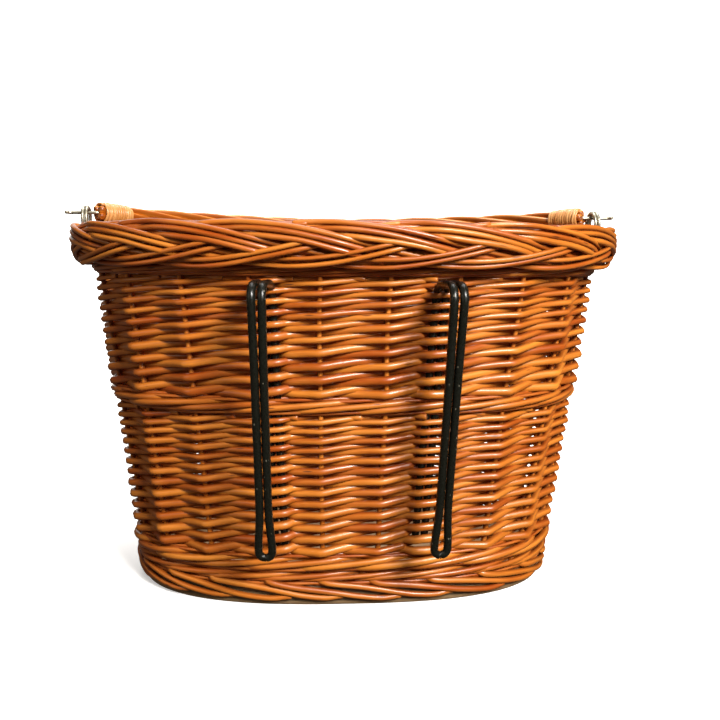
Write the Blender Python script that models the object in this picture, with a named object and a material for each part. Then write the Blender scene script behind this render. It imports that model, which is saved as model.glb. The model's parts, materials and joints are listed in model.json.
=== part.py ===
"""Oval wicker handlebar basket: plywood base, stakes, woven bands, plaited rim, wire bar hooks, folding bow handle.

Sizes are in millimetres and are scaled to metres when a mesh is made. +Z is up, the bar hooks are on the -Y side,
and the carrying handle swings about the X axis through the two wire pins; it is built folded down to +Y.
"""

import math

import bmesh
import bpy
import numpy as np
from mathutils import Vector

MM = 0.001
GAP = 0.3

# The wall's centre line is a super-ellipse whose half axes grow evenly from the board up to the rim.
OVAL_POWER = 2.6
HALF_LENGTH_FOOT = 152.0
HALF_LENGTH_RIM = 181.5
HALF_DEPTH_FOOT = 96.0
HALF_DEPTH_RIM = 142.0
STAKES = 24
STEPS_PER_STAKE = 3

# Heights of the bands, from the floor up.
BOARD_TOP = 14.0
FOOT_LIP_LOW = 3.0
FOOT_BORDER_TOP = 18.0
FOOT_WALE_TOP = 38.0
LOWER_SIDING_TOP = 138.5
MID_WALE_TOP = 150.0
UPPER_SIDING_TOP = 228.5
TOP_WALE_TOP = 234.0
RIM_TOP = 264.0

# How far the bands stand out from the wall's centre line on each side.
SIDING_HALF = 6.5
WALE_HALF = 7.5
BOARD_EDGE = 1.5
STAKE_INSET = -3.5

STAKE_RADIUS = 2.6
STAKE_SIDES = 6
STAKE_FOOT = 0.5
STAKE_TOP = 242.0

# Hooks: one bent rod each, two legs in the wall, two legs outside that meet in a loop.
HOOK_RADIUS = 2.6
HOOK_SIDES = 8
HOOK_LATERAL = 54.5
HOOK_REACH = 39.5
HOOK_SPLAY = 4.0
HOOK_FOOT = 46.0
FOOT_EASE = 1.2
HOOK_CREST = 224.2
HOOK_BEND = 11.0
HOOK_LEG_HALF = 3.1
HOOK_LOOP_HALF = 4.4
HOOK_LOOP_LOW = 50.5
HOOK_LOOP_PARTS = 84.0

# Carrying handle: a bow of twisted rods that turns on two wire pins.
PIVOT_X = 188.6
PIVOT_Z = 272.5
BOW_REACH = 142.5
ROD_RADIUS = 2.2
ROD_SIDES = 6
RODS = 4
ROD_OFFSET_MID = 3.32
ROD_OFFSET_END = 3.85
ROD_START = 2.0
ROD_TWIST_LENGTH = 170.0
ROD_STEPS = 36
END_LENGTH = 42.0
REST_LIFT = 0.4

BINDING_START = 2.2
BINDING_END = 33.0
BINDING_SIDES = 12
BINDING_STEPS = 4

WIRE_RADIUS = 1.3
WIRE_SIDES = 6
PIN_TIP_X = 211.0
PIN_TIP_BEND = 4.5
PIN_INSIDE = 26.0
RING_X = 197.0
RING_RADIUS = 9.0
RING_ABOVE_PIN = 5.5
RING_TURNS = 2
RING_PITCH = 2.9
RING_STEPS = 12

COLOURS = {
    "varnished_willow": ((0.50, 0.20, 0.05, 1.0), 0.35, 0.0),
    "handle_willow": ((0.55, 0.24, 0.06, 1.0), 0.35, 0.0),
    "pale_cane": ((0.72, 0.45, 0.20, 1.0), 0.45, 0.0),
    "base_plywood": ((0.45, 0.36, 0.26, 1.0), 0.60, 0.0),
    "black_coat": ((0.02, 0.02, 0.018, 1.0), 0.40, 0.0),
    "zinc_wire": ((0.62, 0.60, 0.54, 1.0), 0.30, 1.0),
}


def clear_scene():
    for old in list(bpy.data.objects):
        bpy.data.objects.remove(old)


def make_material(name):
    colour, roughness, metallic = COLOURS[name]
    material = bpy.data.materials.new(name)
    material.use_nodes = True
    shader = material.node_tree.nodes["Principled BSDF"]
    shader.inputs["Base Color"].default_value = colour
    shader.inputs["Roughness"].default_value = roughness
    shader.inputs["Metallic"].default_value = metallic
    material.diffuse_color = colour
    return material


def make_object(name, points, faces, material, origin=(0.0, 0.0, 0.0)):
    """One closed body from points in millimetres, triangulated, with its faces turned outward."""
    mesh = bpy.data.meshes.new(name)
    shift = Vector(origin)
    scaled = [(Vector(p) - shift) * MM for p in points]
    mesh.from_pydata([tuple(p) for p in scaled], [], faces)
    work = bmesh.new()
    work.from_mesh(mesh)
    bmesh.ops.triangulate(work, faces=work.faces[:], ngon_method="EAR_CLIP")
    bmesh.ops.recalc_face_normals(work, faces=work.faces[:])
    work.to_mesh(mesh)
    work.free()
    body = bpy.data.objects.new(name, mesh)
    body.location = shift * MM
    if material is not None:
        mesh.materials.append(material)
    bpy.context.scene.collection.objects.link(body)
    return body


def power(value, exponent):
    return math.copysign(abs(value) ** exponent, value)


def oval_table():
    """The oval's unit points at even distances round the rim, starting in the middle of the -Y side."""
    count = 7200
    turn = np.linspace(-math.pi / 2, 1.5 * math.pi, count + 1)
    cos = np.cos(turn)
    sin = np.sin(turn)
    share = 2.0 / OVAL_POWER
    unit = np.stack([np.sign(cos) * np.abs(cos) ** share, np.sign(sin) * np.abs(sin) ** share], axis=1)
    size = unit * np.array([HALF_LENGTH_RIM, HALF_DEPTH_RIM])
    along = np.concatenate([[0.0], np.cumsum(np.linalg.norm(np.diff(size, axis=0), axis=1))])
    return along / along[-1], unit


OVAL = oval_table()


def plan(u, z, offset):
    """The point a share u of the way round at height z, moved outward by offset, with its outward direction."""
    shares, unit = OVAL
    c = float(np.interp(u % 1.0, shares, unit[:, 0]))
    s = float(np.interp(u % 1.0, shares, unit[:, 1]))
    grow = max(z, BOARD_TOP) / TOP_WALE_TOP
    a = HALF_LENGTH_FOOT + (HALF_LENGTH_RIM - HALF_LENGTH_FOOT) * grow
    b = HALF_DEPTH_FOOT + (HALF_DEPTH_RIM - HALF_DEPTH_FOOT) * grow
    out = Vector((power(c, OVAL_POWER - 1.0) / a, power(s, OVAL_POWER - 1.0) / b, 0.0)).normalized()
    return Vector((a * c, b * s, z)) + out * offset, out


def stake_share(index):
    return (index + 0.5) / STAKES


def stake_offset(z):
    """Stakes stand inside the board's edge and lean out to the wall's centre line through the foot."""
    rise = (z - BOARD_TOP) / (FOOT_WALE_TOP - BOARD_TOP)
    return STAKE_INSET * (1.0 - min(max(rise, 0.0), 1.0))


def stake_section(index, z, radius):
    """A level six-sided section of a stake, whose first corner faces outward."""
    centre, out = plan(stake_share(index), z, stake_offset(z))
    side = Vector((-out.y, out.x, 0.0))
    corners = []
    for k in range(STAKE_SIDES):
        turn = 2.0 * math.pi * k / STAKE_SIDES
        corners.append(centre + out * (radius * math.cos(turn)) + side * (radius * math.sin(turn)))
    return corners


def loft(sections):
    """Points and faces of a closed body through equal rings of points."""
    points = [p for section in sections for p in section]
    n = len(sections[0])
    faces = []
    for i in range(len(sections) - 1):
        for k in range(n):
            j = (k + 1) % n
            faces.append((i * n + k, i * n + j, (i + 1) * n + j, (i + 1) * n + k))
    last = (len(sections) - 1) * n
    faces.append(tuple(range(n))[::-1])
    faces.append(tuple(range(last, last + n)))
    return points, faces


def stake(index, material):
    heights = (STAKE_FOOT, BOARD_TOP + GAP / 2, FOOT_WALE_TOP + GAP / 2, STAKE_TOP)
    sections = [stake_section(index, z, STAKE_RADIUS) for z in heights]
    points, faces = loft(sections)
    return make_object("stake_%02d" % (index + 1), points, faces, material)


def level_face(loop_out, loop_in, holes):
    """Faces of a level ring between two loops, split at every stake so that the holes stay open."""
    faces = []
    step = STEPS_PER_STAKE
    total = len(loop_out)
    for k in range(STAKES):
        nxt = (k + 1) % STAKES
        outer = [loop_out[(k * step + i) % total] for i in range(step + 1)]
        inner = [loop_in[(k * step + i) % total] for i in range(step + 1)]
        if holes is None:
            faces.extend((outer[i], outer[i + 1], inner[i + 1], inner[i]) for i in range(step))
            continue
        before = [holes[nxt][0], holes[nxt][5], holes[nxt][4], holes[nxt][3]]
        after = [holes[k][3], holes[k][2], holes[k][1], holes[k][0]]
        faces.append(tuple(outer + before + inner[::-1] + after))
    return faces


def banded_ring(name, outer, inner, material, holes_top=None):
    """An oval ring with a hole for every stake.

    outer is a list of (offset, z) from the lower face up, inner the same from the upper face down.
    holes_top is the height of the holes' closed upper end, or None where they pass right through.
    """
    points = []
    faces = []
    total = STAKES * STEPS_PER_STAKE
    shares = [stake_share(0) + i / total for i in range(total)]

    def add_loop(offset, z):
        start = len(points)
        points.extend(plan(u, z, offset)[0] for u in shares)
        return list(range(start, start + total))

    def add_holes(z):
        rings = []
        for k in range(STAKES):
            start = len(points)
            points.extend(stake_section(k, z, STAKE_RADIUS + GAP))
            rings.append(list(range(start, start + STAKE_SIDES)))
        return rings

    def wall(low, high):
        n = len(low)
        faces.extend((low[i], low[(i + 1) % n], high[(i + 1) % n], high[i]) for i in range(n))

    outer_loops = [add_loop(offset, z) for offset, z in outer]
    inner_loops = [add_loop(offset, z) for offset, z in inner]
    for low, high in zip(outer_loops, outer_loops[1:]):
        wall(low, high)
    for low, high in zip(inner_loops, inner_loops[1:]):
        wall(low, high)
    z_low = outer[0][1]
    z_high = outer[-1][1]
    low_holes = add_holes(z_low)
    high_holes = add_holes(z_high if holes_top is None else holes_top)
    for low, high in zip(low_holes, high_holes):
        wall(low, high)
        if holes_top is not None:
            faces.append(tuple(high))
    faces.extend(level_face(outer_loops[0], inner_loops[-1], low_holes))
    faces.extend(level_face(outer_loops[-1], inner_loops[0], high_holes if holes_top is None else None))
    return make_object(name, points, faces, material)


def base_board(material):
    """The oval board: a ring that carries the stakes' holes, closed in the middle."""
    total = STAKES * STEPS_PER_STAKE
    shares = [stake_share(0) + i / total for i in range(total)]
    points = []
    faces = []
    rows = ((BOARD_EDGE - 0.8, 0.0), (BOARD_EDGE, 0.8), (BOARD_EDGE, BOARD_TOP))
    loops = []
    for offset, z in rows:
        loops.append(list(range(len(points), len(points) + total)))
        points.extend(plan(u, z, offset)[0] for u in shares)
    for low, high in zip(loops, loops[1:]):
        faces.extend((low[i], low[(i + 1) % total], high[(i + 1) % total], high[i]) for i in range(total))
    inner = {}
    holes = {}
    for z in (0.0, BOARD_TOP):
        inner[z] = list(range(len(points), len(points) + total))
        points.extend(plan(u, z, -12.0)[0] for u in shares)
        faces.append(tuple(inner[z]))
        holes[z] = []
        for k in range(STAKES):
            holes[z].append(list(range(len(points), len(points) + STAKE_SIDES)))
            points.extend(stake_section(k, z, STAKE_RADIUS + GAP))
    for low, high in zip(holes[0.0], holes[BOARD_TOP]):
        faces.extend((low[i], low[(i + 1) % STAKE_SIDES], high[(i + 1) % STAKE_SIDES], high[i])
                     for i in range(STAKE_SIDES))
    faces.extend(level_face(loops[0], inner[0.0], holes[0.0]))
    faces.extend(level_face(loops[-1], inner[BOARD_TOP], holes[BOARD_TOP]))
    return make_object("base_board", points, faces, material)


def foot_border(material):
    """The foot border lies on the board and laps down over its edge."""
    low = BOARD_TOP + GAP
    edge = BOARD_EDGE + GAP
    outer = ((edge, low), (edge, FOOT_LIP_LOW), (6.0, FOOT_LIP_LOW), (7.4, 6.0), (7.4, FOOT_BORDER_TOP))
    inner = ((-8.5, FOOT_BORDER_TOP), (-8.5, low))
    return banded_ring("foot_border", outer, inner, material)


def woven_bands(material):
    """The wale and siding bands that close the wall between the foot and the rim."""
    wale = WALE_HALF
    side = SIDING_HALF
    rows = (
        ("foot_wale", FOOT_BORDER_TOP, FOOT_WALE_TOP, -10.0, 6.6, -wale, wale),
        ("lower_siding", FOOT_WALE_TOP, LOWER_SIDING_TOP, -side, side, -side, side),
        ("mid_wale", LOWER_SIDING_TOP, MID_WALE_TOP, -wale, wale, -wale, wale),
        ("upper_siding", MID_WALE_TOP, UPPER_SIDING_TOP, -side, side, -side, side),
        ("top_wale", UPPER_SIDING_TOP, TOP_WALE_TOP, -wale, wale, -wale, wale),
    )
    bands = {}
    for name, low, high, in_low, out_low, in_high, out_high in rows:
        outer = ((out_low, low + GAP), (out_high, high))
        inner = ((in_high, high), (in_low, low + GAP))
        bands[name] = banded_ring(name, outer, inner, material)
    return bands


def rim_border(material):
    """The plaited rim's true outer shape: a rounded band that overhangs the wall."""
    low = TOP_WALE_TOP + GAP
    outer = ((12.0, low), (16.4, 238.5), (17.5, 247.0), (16.6, 256.5), (12.0, RIM_TOP))
    inner = ((-5.0, RIM_TOP), (-9.8, 257.0), (-10.5, 248.0), (-8.0, low))
    return banded_ring("rim_border", outer, inner, material, STAKE_TOP + GAP)


def hook_share(side):
    """How far round the oval a hook stands: where the wall's centre line crosses its lateral position."""
    shares = np.linspace(0.0, 0.25, 2501)
    xs = np.array([plan(float(u), HOOK_CREST, 0.0)[0].x for u in shares])
    return side * float(np.interp(HOOK_LATERAL, xs, shares))


def hook_point(share, lateral, offset, z):
    base, out = plan(share, z, offset)
    return base + Vector((-out.y, out.x, 0.0)) * lateral


def hook_splay(side, offset, z):
    """How far a hook's outer legs lean outward on their way down, where the inner legs follow the stakes."""
    if offset < HOOK_REACH - 0.01:
        return 0.0
    straight = HOOK_CREST - HOOK_BEND
    return side * HOOK_SPLAY * max(straight - z, 0.0) / (straight - HOOK_LOOP_LOW)


def arc_points(centre, radius, start, end, steps):
    """Points of an arc in the (offset, height) plane, in degrees."""
    turns = [math.radians(start + (end - start) * i / steps) for i in range(steps + 1)]
    return [(centre[0] + radius * math.cos(t), centre[1] + radius * math.sin(t)) for t in turns]


def hook_side():
    """One side of a hook as (offset, z, half spacing), from the inner leg's foot to the loop."""
    bend = HOOK_BEND
    rows = [(0.0, HOOK_FOOT, HOOK_LEG_HALF), (0.0, 130.0, HOOK_LEG_HALF)]
    for offset, z in arc_points((bend, HOOK_CREST - bend), bend, 180.0, 90.0, 5):
        rows.append((offset, z, HOOK_LEG_HALF))
    for offset, z in arc_points((HOOK_REACH - bend, HOOK_CREST - bend), bend, 90.0, 0.0, 5):
        rows.append((offset, z, HOOK_LEG_HALF))
    rows.append((HOOK_REACH, 150.0, HOOK_LEG_HALF - 0.2))
    rows.append((HOOK_REACH, HOOK_LOOP_PARTS, HOOK_LEG_HALF - 0.2))
    rows.append((HOOK_REACH, HOOK_LOOP_PARTS - 14.0, HOOK_LEG_HALF + 0.6))
    return rows


def sweep(path, radius, sides, up):
    """Rings of a round section along a path, its first corner kept near the up direction."""
    rings = []
    last = len(path) - 1
    for i, point in enumerate(path):
        along = (path[min(i + 1, last)] - path[max(i - 1, 0)]).normalized()
        first = (up - along * up.dot(along)).normalized()
        second = along.cross(first)
        up = first
        ring = []
        for k in range(sides):
            turn = 2.0 * math.pi * k / sides
            ring.append(point + first * (radius * math.cos(turn)) + second * (radius * math.sin(turn)))
        rings.append(ring)
    return rings


def hook(name, side, material):
    """One bent rod: up inside the wall, over the bar gap, down outside, round the loop and back."""
    share = hook_share(side)
    rows = hook_side()
    left = [hook_point(share, hook_splay(side, offset, z) - half, offset, z) for offset, z, half in rows]
    right = [hook_point(share, hook_splay(side, offset, z) + half, offset, z) for offset, z, half in rows]
    loop = []
    steps = 8
    for i in range(steps + 1):
        turn = math.pi * i / steps
        z = HOOK_LOOP_LOW + HOOK_LOOP_HALF * (1.0 - math.sin(turn))
        lateral = hook_splay(side, HOOK_REACH, z) - HOOK_LOOP_HALF * math.cos(turn)
        loop.append(hook_point(share, lateral, HOOK_REACH, z))
    path = left + loop + right[::-1]
    out = plan(share, HOOK_CREST, 0.0)[1]
    points, faces = loft(sweep(path, HOOK_RADIUS, HOOK_SIDES, Vector((-out.y, out.x, 0.0))))
    return make_object(name, points, faces, material)


def hook_slot(name, side):
    """The cutter for the slot that a hook's two inner legs fill, with its way out under the top wale."""
    share = hook_share(side)
    half = HOOK_RADIUS + GAP
    wide = HOOK_LEG_HALF + half
    bend = HOOK_BEND
    inside = [(-half, HOOK_FOOT - FOOT_EASE), (-half, 130.0)]
    inside += arc_points((bend, HOOK_CREST - bend), bend + half, 180.0, 90.0, 5)
    inside += [(16.0, HOOK_CREST + half)]
    outside = [(half, HOOK_FOOT - FOOT_EASE), (half, 130.0)]
    outside += arc_points((bend, HOOK_CREST - bend), bend - half, 180.0, 90.0, 5)
    outside += [(16.0, HOOK_CREST - half)]
    sections = []
    for (near, z_near), (far, z_far) in zip(inside, outside):
        sections.append([
            hook_point(share, -wide, near, z_near),
            hook_point(share, wide, near, z_near),
            hook_point(share, wide, far, z_far),
            hook_point(share, -wide, far, z_far),
        ])
    points, faces = loft(sections)
    return make_cutter(name, points, faces)


def make_cutter(name, points, faces):
    cutter = make_object(name, points, faces, None)
    cutter.hide_render = True
    cutter.display_type = "WIRE"
    return cutter


def cut(body, cutter):
    modifier = body.modifiers.new("cut", "BOOLEAN")
    modifier.operation = "DIFFERENCE"
    modifier.solver = "EXACT"
    modifier.object = cutter


def bow_drop():
    """How far the bow's middle lies below the pins where it rests on the rim."""
    bundle = ROD_OFFSET_MID + ROD_RADIUS
    return PIVOT_Z - (RIM_TOP + REST_LIFT + bundle)


def bow_line():
    """The bow's centre line from the left pin to the right one, at even distances, with its tails."""
    xs = np.linspace(-PIVOT_X, PIVOT_X, 2001)
    ys = BOW_REACH * np.cos(math.pi * xs / (2.0 * PIVOT_X))
    zs = PIVOT_Z - bow_drop() * ys / BOW_REACH
    line = np.stack([xs, ys, zs], axis=1)
    along = np.concatenate([[0.0], np.cumsum(np.linalg.norm(np.diff(line, axis=0), axis=1))])
    return line, along


BOW = bow_line()


def bow_point(distance):
    """A point of the bow at a distance along it from the left pin, and the bow's direction there."""
    line, along = BOW
    total = along[-1]
    inside = min(max(distance, 0.0), total)
    here = np.array([np.interp(inside, along, line[:, i]) for i in range(3)])
    ahead = np.array([np.interp(min(inside + 1.0, total), along, line[:, i]) for i in range(3)])
    behind = np.array([np.interp(max(inside - 1.0, 0.0), along, line[:, i]) for i in range(3)])
    direction = Vector(ahead - behind).normalized()
    return Vector(here) + direction * (distance - inside), direction


def bow_frame(distance):
    """The bow's point with two directions across it, the first one upward."""
    point, along = bow_point(distance)
    up = Vector((0.0, 0.0, 1.0))
    first = (up - along * up.dot(along)).normalized()
    return point, first, along.cross(first)


def end_share(distance):
    """1 at the pins, falling to 0 at the end of the bindings."""
    total = BOW[1][-1]
    near = min(distance, total - distance)
    return 1.0 - min(max(near / END_LENGTH, 0.0), 1.0)


def handle_rod(index, material):
    total = BOW[1][-1]
    length = total - 2.0 * ROD_START
    path = []
    for i in range(ROD_STEPS + 1):
        distance = ROD_START + length * i / ROD_STEPS
        point, first, second = bow_frame(distance)
        turn = 2.0 * math.pi * ((index + 0.5) / RODS + distance / ROD_TWIST_LENGTH)
        offset = ROD_OFFSET_MID + (ROD_OFFSET_END - ROD_OFFSET_MID) * end_share(distance)
        path.append(point + first * (offset * math.cos(turn)) + second * (offset * math.sin(turn)))
    points, faces = loft(sweep(path, ROD_RADIUS, ROD_SIDES, Vector((0.0, 0.0, 1.0))))
    return make_object("handle_rod_%d" % (index + 1), points, faces, material, (0.0, 0.0, PIVOT_Z))


def bow_ring(distance, radius, sides):
    point, first, second = bow_frame(distance)
    ring = []
    for k in range(sides):
        turn = 2.0 * math.pi * k / sides
        ring.append(point + first * (radius * math.cos(turn)) + second * (radius * math.sin(turn)))
    return ring


def binding(name, side, material):
    """A cone of cane wraps round the end of the bundle, open for the rods at both ends."""
    total = BOW[1][-1]
    sections = []
    for i in range(BINDING_STEPS + 1):
        distance = BINDING_START + (BINDING_END - BINDING_START) * i / BINDING_STEPS
        spread = ROD_OFFSET_MID + (ROD_OFFSET_END - ROD_OFFSET_MID) * end_share(distance)
        inner = (spread + ROD_RADIUS + GAP) / math.cos(math.pi / BINDING_SIDES)
        outer = 8.1 - 1.3 * i / BINDING_STEPS
        place = distance if side < 0 else total - distance
        sections.append((bow_ring(place, inner, BINDING_SIDES), bow_ring(place, outer, BINDING_SIDES)))
    rings = [outer for _, outer in sections] + [inner for inner, _ in sections[::-1]]
    points = [p for ring in rings for p in ring]
    n = BINDING_SIDES
    faces = []
    for i in range(len(rings)):
        j = (i + 1) % len(rings)
        for k in range(n):
            m = (k + 1) % n
            faces.append((i * n + k, i * n + m, j * n + m, j * n + k))
    return make_object(name, points, faces, material, (0.0, 0.0, PIVOT_Z))


def pin(name, side, material):
    """A wire that comes out of the bundle's middle along the hinge line and ends in a bent tip."""
    total = BOW[1][-1]
    path = []
    for distance in (PIN_INSIDE, PIN_INSIDE * 0.5, 1.0):
        path.append(bow_point(distance if side < 0 else total - distance)[0])
    path.append(Vector((side * (PIVOT_X + 0.8), 0.0, PIVOT_Z)))
    path.append(Vector((side * (PIN_TIP_X - 3.0), 0.0, PIVOT_Z)))
    path.append(Vector((side * (PIN_TIP_X - 0.8), -0.9, PIVOT_Z)))
    path.append(Vector((side * PIN_TIP_X, -PIN_TIP_BEND, PIVOT_Z)))
    points, faces = loft(sweep(path, WIRE_RADIUS, WIRE_SIDES, Vector((0.0, 0.0, 1.0))))
    return make_object(name, points, faces, material, (0.0, 0.0, PIVOT_Z))


def ring_centre(side):
    top = PIVOT_Z + RING_ABOVE_PIN
    return Vector((side * RING_X, 0.0, top - RING_RADIUS - WIRE_RADIUS))


def coil_ring(name, side, material):
    """Two turns of wire round the hinge pin and the rim's top strands."""
    centre = ring_centre(side)
    steps = RING_TURNS * RING_STEPS
    path = []
    for i in range(steps + 1):
        turn = 2.0 * math.pi * i / RING_STEPS - math.pi / 2.0
        x = RING_PITCH * RING_TURNS * (i / steps - 0.5)
        path.append(centre + Vector((x, RING_RADIUS * math.cos(turn), RING_RADIUS * math.sin(turn))))
    points, faces = loft(sweep(path, WIRE_RADIUS, WIRE_SIDES, Vector((1.0, 0.0, 0.0))))
    return make_object(name, points, faces, material)


def ring_channel(name, side):
    """The cutter for the way that a coil ring takes through the rim."""
    centre = ring_centre(side)
    half = RING_PITCH * RING_TURNS / 2.0 + WIRE_RADIUS + GAP
    segments = 24
    ease = math.cos(math.pi / segments)
    reach = ((RING_RADIUS - WIRE_RADIUS - GAP), (RING_RADIUS + WIRE_RADIUS + GAP) / ease)
    rings = []
    for x, radius in ((-half, reach[0]), (half, reach[0]), (half, reach[1]), (-half, reach[1])):
        ring = []
        for k in range(segments):
            turn = 2.0 * math.pi * (k + 0.5) / segments
            ring.append(centre + Vector((x, radius * math.cos(turn), radius * math.sin(turn))))
        rings.append(ring)
    points = [p for ring in rings for p in ring]
    faces = []
    for i in range(4):
        j = (i + 1) % 4
        for k in range(segments):
            m = (k + 1) % segments
            faces.append((i * segments + k, i * segments + m, j * segments + m, j * segments + k))
    return make_cutter(name, points, faces)


def build():
    clear_scene()
    materials = {name: make_material(name) for name in COLOURS}
    willow = materials["varnished_willow"]
    base_board(materials["base_plywood"])
    for index in range(STAKES):
        stake(index, willow)
    foot_border(willow)
    bands = woven_bands(willow)
    rim = rim_border(willow)
    for name, side in (("left", -1), ("right", 1)):
        hook(name + "_hook", side, materials["black_coat"])
        slot = hook_slot("cutter_%s_slot" % name, side)
        for band in ("lower_siding", "mid_wale", "upper_siding"):
            cut(bands[band], slot)
        binding(name + "_binding", side, materials["pale_cane"])
        pin(name + "_pin", side, materials["zinc_wire"])
        coil_ring(name + "_ring", side, materials["zinc_wire"])
        cut(rim, ring_channel("cutter_%s_channel" % name, side))
    for index in range(RODS):
        handle_rod(index, materials["handle_willow"])


build()
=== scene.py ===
import json
import math

import bpy
import numpy as np
from mathutils import Matrix, Vector


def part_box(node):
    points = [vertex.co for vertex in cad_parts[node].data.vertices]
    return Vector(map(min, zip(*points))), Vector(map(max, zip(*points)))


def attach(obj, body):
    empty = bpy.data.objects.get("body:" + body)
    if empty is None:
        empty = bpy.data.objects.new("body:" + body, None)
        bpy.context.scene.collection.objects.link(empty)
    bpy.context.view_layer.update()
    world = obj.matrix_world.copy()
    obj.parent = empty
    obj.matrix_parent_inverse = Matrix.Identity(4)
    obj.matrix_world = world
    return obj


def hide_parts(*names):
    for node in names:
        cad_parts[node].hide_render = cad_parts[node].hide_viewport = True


# Looks of the oval wicker handlebar basket. Every rod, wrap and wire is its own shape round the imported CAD
# model. Lengths are in millimetres until a mesh is made. +Z is up and the bar hooks are on the -Y side.

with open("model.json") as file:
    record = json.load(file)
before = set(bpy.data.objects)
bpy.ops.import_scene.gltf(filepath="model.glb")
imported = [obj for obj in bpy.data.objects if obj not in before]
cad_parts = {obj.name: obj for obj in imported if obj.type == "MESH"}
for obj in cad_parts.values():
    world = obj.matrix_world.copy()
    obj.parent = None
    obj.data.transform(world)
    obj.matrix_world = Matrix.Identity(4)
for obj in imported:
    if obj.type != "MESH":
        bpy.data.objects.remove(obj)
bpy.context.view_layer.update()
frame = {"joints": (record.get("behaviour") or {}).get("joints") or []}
MM = 0.001


def node_box(node):
    """A CAD node's lowest and highest corner, in millimetres."""
    low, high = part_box(node)
    return np.array(low) / MM, np.array(high) / MM


def band(node):
    """The lowest and highest level of a CAD node."""
    low, high = node_box(node)
    return float(low[2]), float(high[2])


# The wall's centre line is a super-ellipse that grows evenly from the board up to the rim.
OVAL_POWER = 2.6
WALE_HALF = 7.5
BOARD_EDGE = 1.5
BOARD_TOP = band("base_board")[1]
WALL_TOP = band("top_wale")[1]
HALF_FOOT = node_box("base_board")[1][:2] - BOARD_EDGE
HALF_RIM = node_box("top_wale")[1][:2] - WALE_HALF
STAKES = 24
STAKE_INSET = -3.5
STAKE_RADIUS_LOW = 2.1
STAKE_RADIUS_HIGH = 1.75
TURN = 2.0 * math.pi
OVAL_SAMPLES = 7201
ROD_SIDES = 8


def oval_table():
    """The oval's unit points, and how far round the rim each is, from the middle of the -Y side."""
    turn = np.linspace(-math.pi / 2, 1.5 * math.pi, OVAL_SAMPLES)
    cos = np.cos(turn)
    sin = np.sin(turn)
    share = 2.0 / OVAL_POWER
    unit = np.stack([np.sign(cos) * np.abs(cos) ** share, np.sign(sin) * np.abs(sin) ** share], axis=1)
    along = np.concatenate([[0.0], np.cumsum(np.linalg.norm(np.diff(unit * HALF_RIM, axis=0), axis=1))])
    return along / along[-1], unit, along[-1]


SHARES, UNIT, RIM_LENGTH = oval_table()


def plan(share, z, offset):
    """Points a share of the way round at height z, moved out by offset, and their outward directions."""
    share, z, offset = np.broadcast_arrays(
        np.asarray(share, float), np.asarray(z, float), np.asarray(offset, float)
    )
    c = np.interp(share % 1.0, SHARES, UNIT[:, 0])
    s = np.interp(share % 1.0, SHARES, UNIT[:, 1])
    grow = (np.maximum(z, BOARD_TOP) - BOARD_TOP) / (WALL_TOP - BOARD_TOP)
    a = HALF_FOOT[0] + (HALF_RIM[0] - HALF_FOOT[0]) * grow
    b = HALF_FOOT[1] + (HALF_RIM[1] - HALF_FOOT[1]) * grow
    lean = OVAL_POWER - 1.0
    out_x = np.sign(c) * np.abs(c) ** lean / a
    out_y = np.sign(s) * np.abs(s) ** lean / b
    out = np.stack([out_x, out_y, 0.0 * a], axis=-1)
    out /= np.linalg.norm(out, axis=-1, keepdims=True)
    return np.stack([a * c, b * s, z], axis=-1) + out * offset[..., None], out


def stake_share(index):
    """How far round the oval a stake stands; a fraction is a place between two stakes."""
    return (index + 0.5) / STAKES


def stake_radius(z):
    return STAKE_RADIUS_LOW + (STAKE_RADIUS_HIGH - STAKE_RADIUS_LOW) * np.asarray(z) / WALL_TOP


def eased(share):
    """A share from 0 to 1 with a gentle start and end."""
    return share * share * (3.0 - 2.0 * share)


def uneven(random, count, spacing, size):
    """A smooth unevenness of about the given size, with a new random value every spacing steps."""
    knots = max(4, int(count / spacing) + 3)
    raw = random.normal(0.0, 0.5, knots)
    places = np.linspace(0.0, knots - 1.0, count)
    base = np.minimum(places.astype(int), knots - 2)
    part = eased(places - base)
    return size * (raw[base] * (1.0 - part) + raw[base + 1] * part)


def smooth(values, passes=1):
    """A list of points or numbers with its kinks rounded off, ends kept."""
    values = np.array(values, float)
    for _ in range(passes):
        values[1:-1] = 0.25 * values[:-2] + 0.5 * values[1:-1] + 0.25 * values[2:]
    return values


def spline(points, count):
    """Points at even steps on a smooth curve through the given points (Catmull-Rom)."""
    points = np.asarray(points, float)
    padded = np.vstack([2 * points[0] - points[1], points, 2 * points[-1] - points[-2]])
    places = np.linspace(0.0, len(points) - 1.0, count)
    base = np.minimum(places.astype(int), len(points) - 2)
    t = (places - base)[:, None]
    p0, p1, p2, p3 = (padded[base + k] for k in range(4))
    square = 2 * p0 - 5 * p1 + 4 * p2 - p3
    cube = 3 * p1 - p0 - 3 * p2 + p3
    return 0.5 * (2 * p1 + (p2 - p0) * t + square * t**2 + cube * t**3)


def unit_rows(rows):
    return rows / np.maximum(np.linalg.norm(rows, axis=-1, keepdims=True), 1e-9)


def new_object(name, data):
    made = bpy.data.objects.new(name, data)
    bpy.context.scene.collection.objects.link(made)
    return made


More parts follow.
